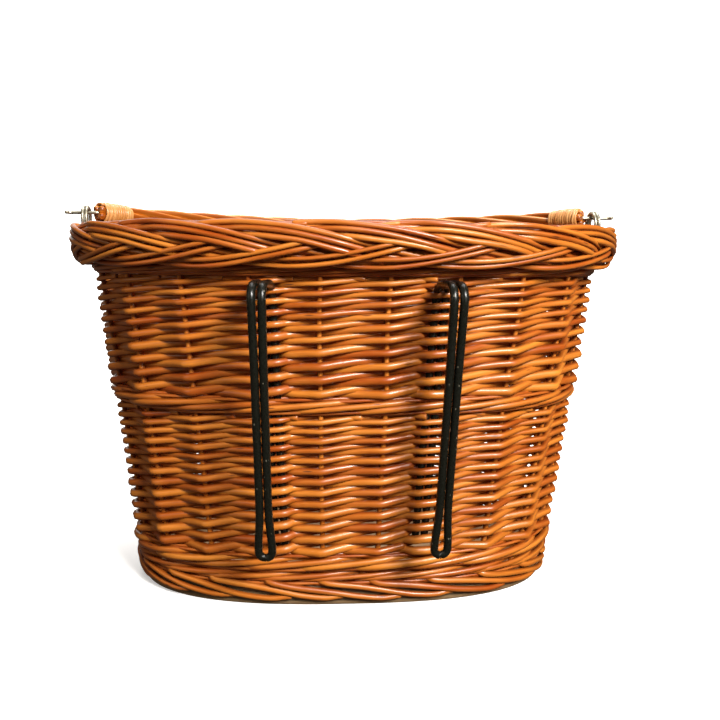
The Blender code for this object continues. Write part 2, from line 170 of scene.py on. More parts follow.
class Bundle:
    """Tubes gathered into one mesh, with what the materials read.

    tone is each rod's own shade from 0 to 1, grain is a place along and round the rod, straightened out, and
    painted_crevice_shade is 1 on the flanks where neighbouring rods touch; it marks where painted shade goes.
    """

    # A rod's end narrows to END_SIZE of its radius over a step of END_STEP radii.
    END_STEP = 0.35
    END_SIZE = 0.7
    # How far a rod's grain is shifted for each unit of tone, so that no two rods look alike.
    GRAIN_SHIFT_ALONG = 5000.0
    GRAIN_SHIFT_ACROSS = 40.0

    def __init__(self):
        self.points = []
        self.grains = []
        self.tones = []
        self.painted_crevice_shades = []
        self.quads = []
        self.caps = []
        self.count = 0

    def add(self, path, radius, first, tone, sides=ROD_SIDES, squash=1.0, closed=False):
        """One tube along path. first is its reference direction, and squash widens it across that one."""
        path = np.asarray(path, float)
        radius = np.broadcast_to(np.asarray(radius, float), (len(path),)).copy()
        first = np.broadcast_to(np.asarray(first, float), path.shape).copy()
        if closed:
            ahead = unit_rows(np.roll(path, -1, axis=0) - np.roll(path, 1, axis=0))
        else:
            ahead = unit_rows(np.gradient(path, axis=0))
            start = path[0] - ahead[0] * self.END_STEP * radius[0]
            end = path[-1] + ahead[-1] * self.END_STEP * radius[-1]
            path = np.vstack([start, path, end])
            ahead = np.vstack([ahead[0], ahead, ahead[-1]])
            first = np.vstack([first[0], first, first[-1]])
            radius = np.concatenate([[radius[0] * self.END_SIZE], radius, [radius[-1] * self.END_SIZE]])
        first = unit_rows(first - ahead * np.sum(first * ahead, axis=1, keepdims=True))
        second = np.cross(ahead, first)
        angle = TURN * np.arange(sides) / sides
        cos = np.cos(angle)[None, :, None]
        sin = np.sin(angle)[None, :, None]
        spread = radius[:, None, None] * (cos * first[:, None, :] + squash * sin * second[:, None, :])
        rings = path[:, None, :] + spread
        run = np.concatenate([[0.0], np.cumsum(np.linalg.norm(np.diff(path, axis=0), axis=1))])
        grain = np.empty(rings.shape)
        grain[..., 0] = run[:, None] + self.GRAIN_SHIFT_ALONG * tone
        grain[..., 1] = radius[:, None] * np.cos(angle)[None, :] + self.GRAIN_SHIFT_ACROSS * tone
        grain[..., 2] = radius[:, None] * np.sin(angle)[None, :]
        n = len(path)
        here = np.arange(n if closed else n - 1)
        ring = self.count + here[:, None] * sides
        next_ring = self.count + ((here + 1) % n)[:, None] * sides
        k = np.arange(sides)[None, :]
        j = (k + 1) % sides
        quads = np.stack([ring + k, ring + j, next_ring + j, next_ring + k], axis=-1)
        self.quads.append(quads.reshape(-1, 4))
        if not closed:
            last = self.count + (n - 1) * sides
            self.caps.append(list(range(self.count, self.count + sides))[::-1])
            self.caps.append(list(range(last, last + sides)))
        self.points.append(rings.reshape(-1, 3))
        self.grains.append(grain.reshape(-1, 3))
        self.tones.append(np.full(n * sides, tone))
        # painted shade mask: 1 on the flanks where neighbouring rods touch
        self.painted_crevice_shades.append(np.tile(np.abs(np.sin(angle)), n))
        self.count += n * sides

    def finish(self, name, material, body, node, cut_material=None):
        """Make the piece, which rides on body and replaces a CAD node. Rod ends get cut_material."""
        mesh = bpy.data.meshes.new(name)
        points = np.concatenate(self.points) * MM
        quads = np.concatenate(self.quads).tolist()
        mesh.from_pydata(points.tolist(), [], quads + self.caps)
        mesh.polygons.foreach_set("use_smooth", [True] * len(quads) + [False] * len(self.caps))
        tone = mesh.attributes.new("tone", "FLOAT", "POINT")
        tone.data.foreach_set("value", np.concatenate(self.tones).astype(np.float32))
        grain = mesh.attributes.new("grain", "FLOAT_VECTOR", "POINT")
        grain.data.foreach_set("vector", (np.concatenate(self.grains) * MM).astype(np.float32).ravel())
        painted_crevice_shade = mesh.attributes.new("painted_crevice_shade", "FLOAT", "POINT")
        painted_crevice_shade.data.foreach_set("value", np.concatenate(self.painted_crevice_shades).astype(np.float32))
        mesh.materials.append(material)
        if cut_material:
            mesh.materials.append(cut_material)
            mesh.polygons.foreach_set("material_index", [0] * len(quads) + [1] * len(self.caps))
        mesh.update()
        piece = new_object(name, mesh)
        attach(piece, body)
        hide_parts(node)

    def finish_band(self, node, material, cut):
        """Make the piece of a woven band."""
        self.finish(node + "_weave", material, "basket", node, cut)


# ---- materials

DARK_WILLOW = (0.29, 0.040, 0.002, 1.0)
LIGHT_WILLOW = (0.71, 0.243, 0.026, 1.0)
RED_WILLOW = (0.34, 0.042, 0.003, 1.0)
DARK_BOW = (0.40, 0.078, 0.004, 1.0)
LIGHT_BOW = (0.78, 0.28, 0.022, 1.0)
RED_BOW = (0.42, 0.068, 0.004, 1.0)
STREAK = (0.14, 0.015, 0.001, 1.0)
# painted shade: the colour that rod flanks are darkened towards where neighbours touch
PAINTED_CREVICE_SHADE = (0.12, 0.009, 0.0006, 1.0)
LEAF_SCAR = (0.09, 0.022, 0.006, 1.0)
DARK_CUT = (0.13, 0.030, 0.006, 1.0)
LIGHT_CUT = (0.34, 0.115, 0.028, 1.0)
DARK_CANE = (0.50, 0.20, 0.045, 1.0)
LIGHT_CANE = (0.72, 0.37, 0.125, 1.0)
CANE_FIBRE = (0.27, 0.08, 0.015, 1.0)
BLACK_COAT = (0.003, 0.003, 0.002, 1.0)
WORN_COAT = (0.008, 0.009, 0.006, 1.0)
RUBBED_SPECK = (0.30, 0.27, 0.20, 1.0)
BRIGHT_ZINC = (0.50, 0.47, 0.38, 1.0)
DULL_ZINC = (0.33, 0.30, 0.22, 1.0)
DARK_PLY = (0.26, 0.150, 0.066, 1.0)
LIGHT_PLY = (0.44, 0.29, 0.145, 1.0)
PLY_FIBRE = (0.13, 0.066, 0.025, 1.0)
# edge colour: partly darker end grain, partly painted shade from under the basket
PLY_END_GRAIN_AND_SHADE = (0.12, 0.072, 0.036, 1.0)
PLY_LINE = (0.10, 0.062, 0.032, 1.0)
PLY_THICKNESS = 1.4
WHITE = (1.0, 1.0, 1.0, 1.0)
PALE = (0.92, 0.92, 0.91, 1.0)


def shader_node(tree, kind, inputs=None, **settings):
    """A new node with its settings; an input is a number, a colour or another node's output."""
    made = tree.nodes.new(kind)
    for key, value in settings.items():
        setattr(made, key, value)
    for key, value in (inputs or {}).items():
        if isinstance(value, bpy.types.NodeSocket):
            tree.links.new(value, made.inputs[key])
        else:
            made.inputs[key].default_value = value
    return made


def new_material(name):
    material = bpy.data.materials.new(name)
    material.use_nodes = True
    tree = material.node_tree
    return material, tree, tree.nodes["Principled BSDF"]


def attribute(tree, name, output="Fac"):
    return shader_node(tree, "ShaderNodeAttribute", attribute_name=name).outputs[output]


def object_place(tree):
    return shader_node(tree, "ShaderNodeTexCoord").outputs["Object"]


def stretched(tree, vector, along, across):
    """A place scaled along and across the grain, so that a pattern repeats about that often in a metre."""
    inputs = {0: vector, 1: (along, across, across)}
    return shader_node(tree, "ShaderNodeVectorMath", inputs, operation="MULTIPLY").outputs[0]


def noise(tree, vector, along, across, detail=2.0, roughness=0.55):
    inputs = {"Vector": stretched(tree, vector, along, across), "Scale": 1.0, "Detail": detail}
    inputs["Roughness"] = roughness
    return shader_node(tree, "ShaderNodeTexNoise", inputs).outputs["Fac"]


def cells(tree, vector, along, across):
    """A cell pattern's distance from the cell's middle, and a random number for each cell."""
    inputs = {"Vector": stretched(tree, vector, along, across), "Scale": 1.0}
    made = shader_node(tree, "ShaderNodeTexVoronoi", inputs)
    pick = shader_node(tree, "ShaderNodeSeparateColor", {0: made.outputs["Color"]}).outputs[0]
    return made.outputs["Distance"], pick


def mapped(tree, value, low, high, to_low=0.0, to_high=1.0):
    """A value that goes smoothly from to_low at low to to_high at high."""
    inputs = {0: value, 1: low, 2: high, 3: to_low, 4: to_high}
    return shader_node(tree, "ShaderNodeMapRange", inputs, interpolation_type="SMOOTHSTEP").outputs[0]


def calculate(tree, operation, a, b=0.5):
    return shader_node(tree, "ShaderNodeMath", {0: a, 1: b}, operation=operation).outputs[0]


def mix_colour(tree, factor, a, b):
    return shader_node(tree, "ShaderNodeMix", {0: factor, 6: a, 7: b}, data_type="RGBA").outputs[2]


def add_bump(tree, shader, height, strength, depth):
    """Surface relief; depth is in metres."""
    bump = shader_node(tree, "ShaderNodeBump", {"Height": height, "Strength": strength, "Distance": depth})
    tree.links.new(bump.outputs[0], shader.inputs["Normal"])


def willow_material(name, dark, light, red, roughness, coat):
    """Varnished willow: streaks along each rod, slow changes of shade, dark leaf scars, painted shade on the
    flanks where rods touch, and a clear coat.
    """
    material, tree, shader = new_material(name)
    grain = attribute(tree, "grain", "Vector")
    blotch = noise(tree, grain, 22.0, 160.0, 3.0)
    streak = noise(tree, grain, 70.0, 2600.0, 3.0, 0.65)
    reddish = noise(tree, grain, 9.0, 60.0)
    own_share = calculate(tree, "MULTIPLY", attribute(tree, "tone"), 0.34)
    share = calculate(tree, "ADD", own_share, calculate(tree, "MULTIPLY", blotch, 0.8))
    colour = mix_colour(tree, mapped(tree, share, 0.12, 0.98), dark, light)
    colour = mix_colour(tree, mapped(tree, reddish, 0.52, 0.75, 0.0, 0.32), colour, red)
    colour = mix_colour(tree, mapped(tree, streak, 0.35, 0.65, 0.25, 0.0), colour, STREAK)
    # painted shade: each rod's flanks, where its neighbours touch, are darkened towards a deep red-brown
    painted_flank_shade = mapped(tree, attribute(tree, "painted_crevice_shade"), 0.5, 1.0, 0.0, 0.68)
    colour = mix_colour(tree, painted_flank_shade, colour, PAINTED_CREVICE_SHADE)
    distance, pick = cells(tree, grain, 38.0, 230.0)
    spot = mapped(tree, distance, 0.07, 0.17, 1.0, 0.0)
    scar = calculate(tree, "MULTIPLY", spot, mapped(tree, pick, 0.55, 0.6))
    colour = mix_colour(tree, calculate(tree, "MULTIPLY", scar, 0.8), colour, LEAF_SCAR)
    tree.links.new(colour, shader.inputs["Base Color"])
    gloss = mapped(tree, blotch, 0.3, 0.7, roughness - 0.06, roughness + 0.10)
    tree.links.new(gloss, shader.inputs["Roughness"])
    shader.inputs["Coat Weight"].default_value = coat
    shader.inputs["Coat Roughness"].default_value = 0.16
    fine = calculate(tree, "MULTIPLY", streak, 0.35)
    height = calculate(tree, "ADD", fine, calculate(tree, "MULTIPLY", blotch, 0.9))
    height = calculate(tree, "SUBTRACT", height, calculate(tree, "MULTIPLY", scar, 0.8))
    add_bump(tree, shader, height, 0.35, 0.0004)
    return material


def cut_end_material(name):
    """A rod's cut end: dark, dry and speckled."""
    material, tree, shader = new_material(name)
    speckle = noise(tree, object_place(tree), 900.0, 900.0, 3.0)
    colour = mix_colour(tree, mapped(tree, speckle, 0.35, 0.65), DARK_CUT, LIGHT_CUT)
    tree.links.new(colour, shader.inputs["Base Color"])
    shader.inputs["Roughness"].default_value = 0.7
    add_bump(tree, shader, speckle, 0.4, 0.0003)
    return material


def cane_material(name):
    """Pale split cane: fine fibres along each wrap, satin."""
    material, tree, shader = new_material(name)
    grain = attribute(tree, "grain", "Vector")
    fibre = noise(tree, grain, 60.0, 3200.0, 3.0, 0.7)
    blotch = noise(tree, grain, 30.0, 200.0)
    colour = mix_colour(tree, mapped(tree, blotch, 0.3, 0.7), DARK_CANE, LIGHT_CANE)
    colour = mix_colour(tree, mapped(tree, fibre, 0.3, 0.62, 0.45, 0.0), colour, CANE_FIBRE)
    tree.links.new(colour, shader.inputs["Base Color"])
    shader.inputs["Roughness"].default_value = 0.42
    shader.inputs["Coat Weight"].default_value = 0.25
    shader.inputs["Coat Roughness"].default_value = 0.3
    add_bump(tree, shader, fibre, 0.4, 0.0003)
    return material


def coated_wire_material(name):
    """Black plastic coat: satin, slightly uneven, with pale rubbed specks."""
    material, tree, shader = new_material(name)
    grain = attribute(tree, "grain", "Vector")
    fine = noise(tree, grain, 500.0, 900.0, 3.0)
    distance, pick = cells(tree, grain, 260.0, 520.0)
    spot = mapped(tree, distance, 0.10, 0.2, 1.0, 0.0)
    speck = calculate(tree, "MULTIPLY", spot, mapped(tree, pick, 0.78, 0.82))
    colour = mix_colour(tree, fine, BLACK_COAT, WORN_COAT)
    colour = mix_colour(tree, calculate(tree, "MULTIPLY", speck, 0.6), colour, RUBBED_SPECK)
    tree.links.new(colour, shader.inputs["Base Color"])
    tree.links.new(mapped(tree, fine, 0.3, 0.7, 0.24, 0.38), shader.inputs["Roughness"])
    shader.inputs["Specular IOR Level"].default_value = 0.35
    add_bump(tree, shader, fine, 0.25, 0.0004)
    return material


def zinc_material(name):
    """Zinc plated wire with fine drawing marks and dull patches."""
    material, tree, shader = new_material(name)
    grain = attribute(tree, "grain", "Vector")
    marks = noise(tree, grain, 120.0, 4000.0)
    dull = noise(tree, grain, 260.0, 400.0, 3.0)
    colour = mix_colour(tree, mapped(tree, dull, 0.35, 0.7), BRIGHT_ZINC, DULL_ZINC)
    tree.links.new(colour, shader.inputs["Base Color"])
    shader.inputs["Metallic"].default_value = 1.0
    tree.links.new(mapped(tree, dull, 0.3, 0.7, 0.36, 0.52), shader.inputs["Roughness"])
    add_bump(tree, shader, marks, 0.25, 0.0002)
    return material


def plywood_material(name):
    """Board: long grain on its faces, thin plies on its edge, and an edge darkened all over, partly for end
    grain and partly as painted shade.
    """
    material, tree, shader = new_material(name)
    place = object_place(tree)
    figure = noise(tree, place, 14.0, 220.0, 4.0, 0.6)
    fibre = noise(tree, place, 60.0, 1800.0)
    colour = mix_colour(tree, mapped(tree, figure, 0.3, 0.7), DARK_PLY, LIGHT_PLY)
    colour = mix_colour(tree, mapped(tree, fibre, 0.32, 0.6, 0.55, 0.0), colour, PLY_FIBRE)
    height = shader_node(tree, "ShaderNodeSeparateXYZ", {0: place}).outputs[2]
    ply = calculate(tree, "SINE", calculate(tree, "MULTIPLY", height, math.pi / (PLY_THICKNESS * MM)))
    facing = shader_node(tree, "ShaderNodeNewGeometry").outputs["Normal"]
    upward = calculate(tree, "ABSOLUTE", shader_node(tree, "ShaderNodeSeparateXYZ", {0: facing}).outputs[2])
    on_edge = mapped(tree, upward, 0.3, 0.6, 1.0, 0.0)
    # The edge is darkened all over: partly end grain, partly painted shade from under the basket.
    colour = mix_colour(tree, calculate(tree, "MULTIPLY", on_edge, 0.5), colour, PLY_END_GRAIN_AND_SHADE)
    line = calculate(tree, "MULTIPLY", mapped(tree, ply, 0.1, 0.9), on_edge)
    colour = mix_colour(tree, calculate(tree, "MULTIPLY", line, 0.7), colour, PLY_LINE)
    tree.links.new(colour, shader.inputs["Base Color"])
    shader.inputs["Roughness"].default_value = 0.55
    add_bump(tree, shader, fibre, 0.3, 0.0003)
    return material


# ---- the woven wall

STEPS_PER_BAY = 14
# How a weaver climbs from one front crossing (0) over the back one (1) to the next (2), in levels.
CLIMB_PLACES = (0.0, 0.25, 0.5, 0.75, 1.0, 1.25, 1.5, 1.75, 2.0)
CLIMB_LEVELS = (0.0, 0.38, 0.70, 0.92, 1.05, 1.33, 1.64, 1.89, 2.0)
# How far a weaver reaches before its first crossing and after its last one, in bays.
BUTT_REACH = 0.8
TIP_REACH = 0.65
# How deep a weaver presses into a stake or a hook's leg that it passes.
PRESSED_STAKE = 0.15
PRESSED_HOOK = 0.1
# A weaver's middle stays this many radii inside its band.
BAND_MARGIN = 0.1
# How far past a hook's legs a weaver keeps clear, and over what length it then goes back.
HOOK_PASS_CLEAR = 1.6
HOOK_PASS_BACK = 7.0
# A rod's thickness at its butt and its tip, in shares of its middle's.
ROD_TAPER = (1.08, 0.92)


def zigzag(step):
    """1 at even steps and -1 at odd ones, straight between them."""
    return 2.0 * np.abs(step % 2.0 - 1.0) - 1.0


def between_stakes(start, steps, z, reach):
    """A weaver's path with straight runs from each stake to the next, bent sharply where it crosses one."""
    before = np.floor(steps)
    part = (steps - before)[:, None]
    here = plan(stake_share(start + before), z, reach * zigzag(before))[0]
    there = plan(stake_share(start + before + 1.0), z, reach * zigzag(before + 1.0))[0]
    return here * (1.0 - part) + there * part


def past_hooks(start, steps, offset, radius):
    """A weaver's offset where it meets a hook's two inner legs: it stays in front of them, or behind."""
    bay = RIM_LENGTH / STAKES
    for side in (-1, 1):
        meeting = hook_share(side) * STAKES - 0.5 - start
        meeting += STAKES * np.round((steps - meeting) / STAKES)
        away = np.abs(steps - meeting) * bay
        share = eased(np.clip(1.0 - (away - HOOK_LEG_HALF - HOOK_PASS_CLEAR) / HOOK_PASS_BACK, 0.0, 1.0))
        beside = np.sign(zigzag(meeting)) * (HOOK_RADIUS + radius - PRESSED_HOOK)
        offset = offset + share * (beside - offset)
    return offset


def siding(name, material, cut, levels, tip_ratio, press, seed):
    """French randing: a weaver starts in every bay and climbs, in front of one stake and behind the next.

    Its butt is at the band's foot and its tip at the band's top. press is the rods' thickness in levels.
    """
    low, high = band(name)
    butt = 2.0 * (high - low) / (levels * (1.0 + tip_ratio))
    slope = butt * (tip_ratio - 1.0) / (levels - 1.0)
    random = np.random.default_rng(seed)
    weave = Bundle()
    steps = np.arange(-BUTT_REACH, levels - 1.0 + TIP_REACH, 1.0 / STEPS_PER_BAY)
    count = len(steps)
    for weaver in range(STAKES):
        start = weaver + 1.0
        beat = steps % 2.0
        level = np.clip(steps - beat + np.interp(beat, CLIMB_PLACES, CLIMB_LEVELS), 0.0, levels - 1.0)
        own = 1.0 + uneven(random, count, spacing=count, size=0.12)
        own = own + uneven(random, count, spacing=14, size=0.05)
        radius = 0.5 * press * (butt + slope * level) * own
        z = low + 0.5 * butt + butt * level + 0.5 * slope * level**2
        z = z + uneven(random, count, spacing=10, size=0.35)
        z = np.clip(z, low + BAND_MARGIN * radius, high - BAND_MARGIN * radius)
        reach = stake_radius(z) + radius - PRESSED_STAKE
        offset = reach * zigzag(steps)
        aside = past_hooks(start, steps, offset, radius) - offset
        aside = aside + uneven(random, count, spacing=10, size=0.4)
        out = plan(stake_share(start + steps), z, 0.0)[1]
        path = between_stakes(start, steps, z, reach) + out * aside[:, None]
        weave.add(path, radius, out, random.random())
    weave.finish_band(name, material, cut)


# The first stake and the length, in stakes, of the rods that make up one strand of wale.
WALE_RODS = ((0, 9), (9, 9), (18, 6))
WALE_STRANDS = 3
# Where a rod starts and ends, in stakes from its own first stake and from the next rod's.
WALE_REACH = (-1.05, -0.85)
WALE_STEP = 0.1
FILLER_DEPTH = 0.8
# A filler round's tone is the darkest: painted shade for the recess it lies in.
FILLER_PAINTED_SHADE_TONE = 0.05


def wale_offset(step):
    """From 1 in front of two stakes to -1 behind the third, step counting stakes."""
    turn = TURN * (step - 0.5) / WALE_STRANDS
    return 0.3333 + 1.05 * np.cos(turn) - 0.2833 * np.cos(2.0 * turn)


def wale_round(weave, random, level, rod, steepness, joint_shift=0, filler=False):
    """One round of three-rod wale: each strand passes in front of two stakes and behind one.

    It rises by steepness rods in front and comes down again behind. A filler round lies deeper and gets the
    darkest tone, painted shade for its recess.
    """
    rise = steepness * rod
    for strand in range(WALE_STRANDS):
        for first, length in WALE_RODS:
            steps = np.arange(first + WALE_REACH[0], first + length + WALE_REACH[1], WALE_STEP)
            count = len(steps)
            beat = (steps + 0.5) % WALE_STRANDS
            climb = np.where(beat < 2.0, beat / 2.0, 3.0 - beat) - 0.5
            taper = np.linspace(*ROD_TAPER, count)
            radius = 0.5 * rod * taper * (1.0 + uneven(random, count, spacing=20, size=0.08))
            z = smooth(level + rise * climb + uneven(random, count, spacing=12, size=0.3), 3)
            reach = stake_radius(z) + radius
            offset = reach * wale_offset(steps) + uneven(random, count, spacing=10, size=0.35)
            if filler:
                offset = offset - FILLER_DEPTH
            path, out = plan(stake_share(strand + joint_shift + steps), z, offset)
            weave.add(path, radius, out, FILLER_PAINTED_SHADE_TONE if filler else random.random())


def mid_wale(material, cut):
    """One round of thick rods between two fillers."""
    low, high = band("mid_wale")
    weave = Bundle()
    random = np.random.default_rng(31)
    wale_round(weave, random, low + 1.4, rod=2.4, steepness=1.1, joint_shift=2, filler=True)
    wale_round(weave, random, (low + high) / 2.0, rod=4.3, steepness=1.75)
    wale_round(weave, random, high - 1.4, rod=2.4, steepness=1.1, joint_shift=1, filler=True)
    weave.finish_band("mid_wale", material, cut)


def top_wale(material, cut):
    """Two rounds under the rim, over a filler."""
    low, high = band("top_wale")
    middle = (low + high) / 2.0
    weave = Bundle()
    random = np.random.default_rng(37)
    wale_round(weave, random, low + 1.3, rod=2.4, steepness=1.0, joint_shift=2, filler=True)
    wale_round(weave, random, middle + 1.0, rod=3.3, steepness=1.5, joint_shift=1)
    wale_round(weave, random, middle + 5.6, rod=3.0, steepness=1.2)
    weave.finish_band("top_wale", material, cut)


def foot_wale(material, cut):
    """A thick round of wale over a thinner one, with a filler above each."""
    low, high = band("foot_wale")
    weave = Bundle()
    random = np.random.default_rng(41)
    wale_round(weave, random, low + 3.4, rod=3.9, steepness=1.3, joint_shift=1)
    wale_round(weave, random, low + 8.8, rod=2.8, steepness=1.2, joint_shift=2, filler=True)
    wale_round(weave, random, high - 6.4, rod=4.9, steepness=1.7)
    wale_round(weave, random, high - 0.9, rod=2.4, steepness=1.0, joint_shift=1, filler=True)
    weave.finish_band("foot_wale", material, cut)


STAKE_STEPS = 90
# How far above its CAD node's foot a stake starts, to stay above the floor.
STAKE_FOOT_GAP = 0.8
# A stake stays straight up to this height above the board, where it comes out of its hole.
STAKE_STRAIGHT = 4.0


def stakes(material):
    """The upright rods, each in its hole of the board, which lean out into the wall above it."""
    low, high = band("stake_01")
    count = STAKE_STEPS
    for index in range(STAKES):
        random = np.random.default_rng(200 + index)
        z = np.linspace(low + STAKE_FOOT_GAP, high, count)
        risen = np.clip((z - BOARD_TOP) / (band("foot_wale")[1] - BOARD_TOP), 0.0, 1.0)
        bend = uneven(random, count, spacing=22, size=0.45)
        bend[z < BOARD_TOP + STAKE_STRAIGHT] = 0.0
        share = stake_share(index) + uneven(random, count, spacing=30, size=0.9) / RIM_LENGTH
        path, out = plan(share, z, STAKE_INSET * (1.0 - risen) + smooth(bend, 4))
        radius = stake_radius(z) * (1.0 + uneven(random, count, spacing=12, size=0.05))
        rod = Bundle()
        rod.add(path, radius, out, 0.35 + 0.5 * random.random(), 10)
        node = "stake_%02d" % (index + 1)
        rod.finish(node + "_willow", material, "basket", node)


# ---- foot border

BORDER_ROUTE = (
    # steps along in stake spacings, offset from the wall's centre line, height above the floor
    (-0.16, -2.0, 23.0),
    (-0.08, 1.5, 19.5),
    (0.02, 4.6, 17.4),
    (0.22, 5.4, 16.2),
    (0.6, 5.3, 14.4),
    (1.1, 5.2, 11.6),
    (1.6, 4.9, 8.2),
    (2.1, 4.4, 6.2),
    (2.45, 3.6, 7.2),
)
BORDER_STEPS = 48
BORDER_RADIUS_START = 2.45
BORDER_RADIUS_TIP = 1.95


def foot_border(material, cut):
    """Stake ends that bend out over the board's edge and run down along it, over a thin filler round."""
    weave = Bundle()
    random = np.random.default_rng(53)
    low, high = band("foot_border")
    count = BORDER_STEPS
    wale_round(weave, random, high - 1.6, rod=2.6, steepness=0.9, joint_shift=2, filler=True)
    for index in range(STAKES):
        route = spline(BORDER_ROUTE, count)
        step = route[:, 0] + uneven(random, count, spacing=60, size=0.1)
        offset = route[:, 1] + uneven(random, count, spacing=16, size=0.3)
        z = np.maximum(route[:, 2] + uneven(random, count, spacing=18, size=0.7), low)
        taper = np.linspace(BORDER_RADIUS_START, BORDER_RADIUS_TIP, count)
        radius = taper * (1.0 + uneven(random, count, spacing=30, size=0.12))
        path, out = plan(stake_share(index + step), z, offset)
        weave.add(path, radius, out, random.random())
    weave.finish_band("foot_border", material, cut)


# ---- rim border

PLAIT_MIDDLE = 247.8
PLAIT_HALF = 11.1
PLAIT_BEATS = 5.0
PLAIT_REPEATS = 20
PLAIT_START = 0.74
PLAIT_LAYER = 3.8
PLAIT_ROD = 3.4
PLAIT_PITCH = 3.85
PLAIT_BULGE = 15.6
PLAIT_ROUNDING = 0.0165
# How sharply a strand goes from the front layer to the back one.
PLAIT_STEEPNESS = 3.6
STRAND_BEATS = (-0.42, 4.72)
STRAND_STEPS = 92
JOINING_ROUTE = (
    # beats along, offset from the wall's centre line, height above the floor
    (-0.66, -4.0, 236.0),
    (-0.60, -6.2, 246.0),
    (-0.48, -4.6, 256.0),
    (-0.30, 2.5, 258.5),
    (-0.10, 8.6, 255.5),
    (0.08, 12.0, 253.2),
)
JOINING_STEPS = 26
TAIL_BEATS = (0.22, 1.55)
TAIL_STEPS = 30
TAIL_JOINED = 0.6
TAIL_START_LEVEL = 252.6
TAIL_BELOW = 3.75
JOINING_RADIUS = 1.98
# Each core rod's offset from the wall's centre line and height above the floor.
CORE_PLACES = (
    (8.6, 257.5), (4.0, 259.2), (-0.8, 258.6), (-3.8, 254.4), (-4.4, 249.6), (-4.0, 244.8),
    (-3.6, 240.2), (9.0, 252.5), (8.8, 247.6), (8.6, 242.8), (8.0, 238.2), (3.8, 254.5),
)
CORE_RADIUS = 2.5
CORE_STEPS_PER_BAY = 8
CORE_WAVES = 7.0


def face_offset(z):
    """How far the plait's front layer stands out at a height: it bulges in the middle."""
    return PLAIT_BULGE - PLAIT_ROUNDING * (z - PLAIT_MIDDLE) ** 2


def plait_line(beat):
    """A strand's height and layer (1 front, 0 back), beat counting from the strand's highest place.

    A strand goes down over two others and under two, then up over two and under two.
    """
    turn = TURN * beat / PLAIT_BEATS
    front = 0.5 + 0.5 * np.clip(PLAIT_STEEPNESS * np.sin(2.0 * turn), -1.0, 1.0)
    return PLAIT_MIDDLE + PLAIT_HALF * np.cos(turn), front


def plait_share(beat):
    """How far round the rim a beat of the plait lies."""
    return (beat + PLAIT_START) / PLAIT_REPEATS


def plait_strands(weave, random):
    """Strands of two rods: each is one whole wave, whose ends are tucked behind the others."""
    count = STRAND_STEPS
    for index in range(PLAIT_REPEATS):
        beat = np.linspace(*STRAND_BEATS, count)
        z, front = plait_line(beat)
        slope = np.gradient(z, RIM_LENGTH / PLAIT_REPEATS * (beat[1] - beat[0]))
        up = unit_rows(np.stack([-slope, np.ones(count)], axis=1))
        for rod in (0.5, -0.5):
            gap = rod * PLAIT_PITCH
            height = z + gap * up[:, 1] + uneven(random, count, spacing=16, size=0.7)
            share = plait_share(index + beat) + gap * up[:, 0] / RIM_LENGTH
            depth = smooth(face_offset(height) - PLAIT_LAYER * (1.0 - front), 4)
            path, out = plan(share, height, depth + uneven(random, count, spacing=16, size=0.5))
            taper = np.linspace(*ROD_TAPER, count)
            radius = 0.5 * PLAIT_ROD * taper * (1.0 + uneven(random, count, spacing=60, size=0.12))
            weave.add(path, radius, out, random.random())


def joining_rods(weave, random):
    """Rods that come up inside, bend over the core and join a strand from below as it starts to go down."""
    for index in range(PLAIT_REPEATS):
        beat = np.linspace(*TAIL_BEATS, TAIL_STEPS)
        z, front = plait_line(beat)
        tail_z = z - (0.5 * PLAIT_PITCH + TAIL_BELOW)
        early = beat < TAIL_JOINED
        levels = (TAIL_START_LEVEL, tail_z[~early][0])
        tail_z[early] = np.interp(beat[early], (TAIL_BEATS[0], TAIL_JOINED), levels)
        depth = smooth(face_offset(tail_z) - PLAIT_LAYER * (1.0 - front), 2)
        tail = np.stack([beat, depth, tail_z], axis=1)
        whole = smooth(np.vstack([spline(JOINING_ROUTE, JOINING_STEPS), tail]), 3)
        count = len(whole)
        height = whole[:, 2] + uneven(random, count, spacing=16, size=0.5)
        path, out = plan(plait_share(index + whole[:, 0]), height, whole[:, 1])
        radius = JOINING_RADIUS * (1.0 + uneven(random, count, spacing=40, size=0.1))
        weave.add(path, radius, out, random.random())


def rim_core(weave, random):
    """The rods that the plait is worked over, lying side by side round the rim."""
    count = STAKES * CORE_STEPS_PER_BAY
    for number, (offset, z) in enumerate(CORE_PLACES):
        share = np.arange(count) / count
        swing = TURN * share * CORE_WAVES + number
        path, out = plan(share, z + 0.5 * np.sin(swing), offset + 0.4 * np.cos(swing))
        weave.add(path, CORE_RADIUS, out, 0.1 + 0.5 * random.random(), closed=True)


def rim(material, cut):
    """The whole rim border as one piece."""
    weave = Bundle()
    random = np.random.default_rng(67)
    rim_core(weave, random)
    plait_strands(weave, random)
    joining_rods(weave, random)
    weave.finish("rim_plait", material, "basket", "rim_border", cut)


# ---- board

BOARD_STEPS = 240
# Half of the board's edge: offset from the wall's centre line, and distance from the nearer face.
BOARD_PROFILE = ((-9.0, 0.0), (BOARD_EDGE - 1.0, 0.0), (BOARD_EDGE - 0.3, 0.3), (BOARD_EDGE, 1.0))


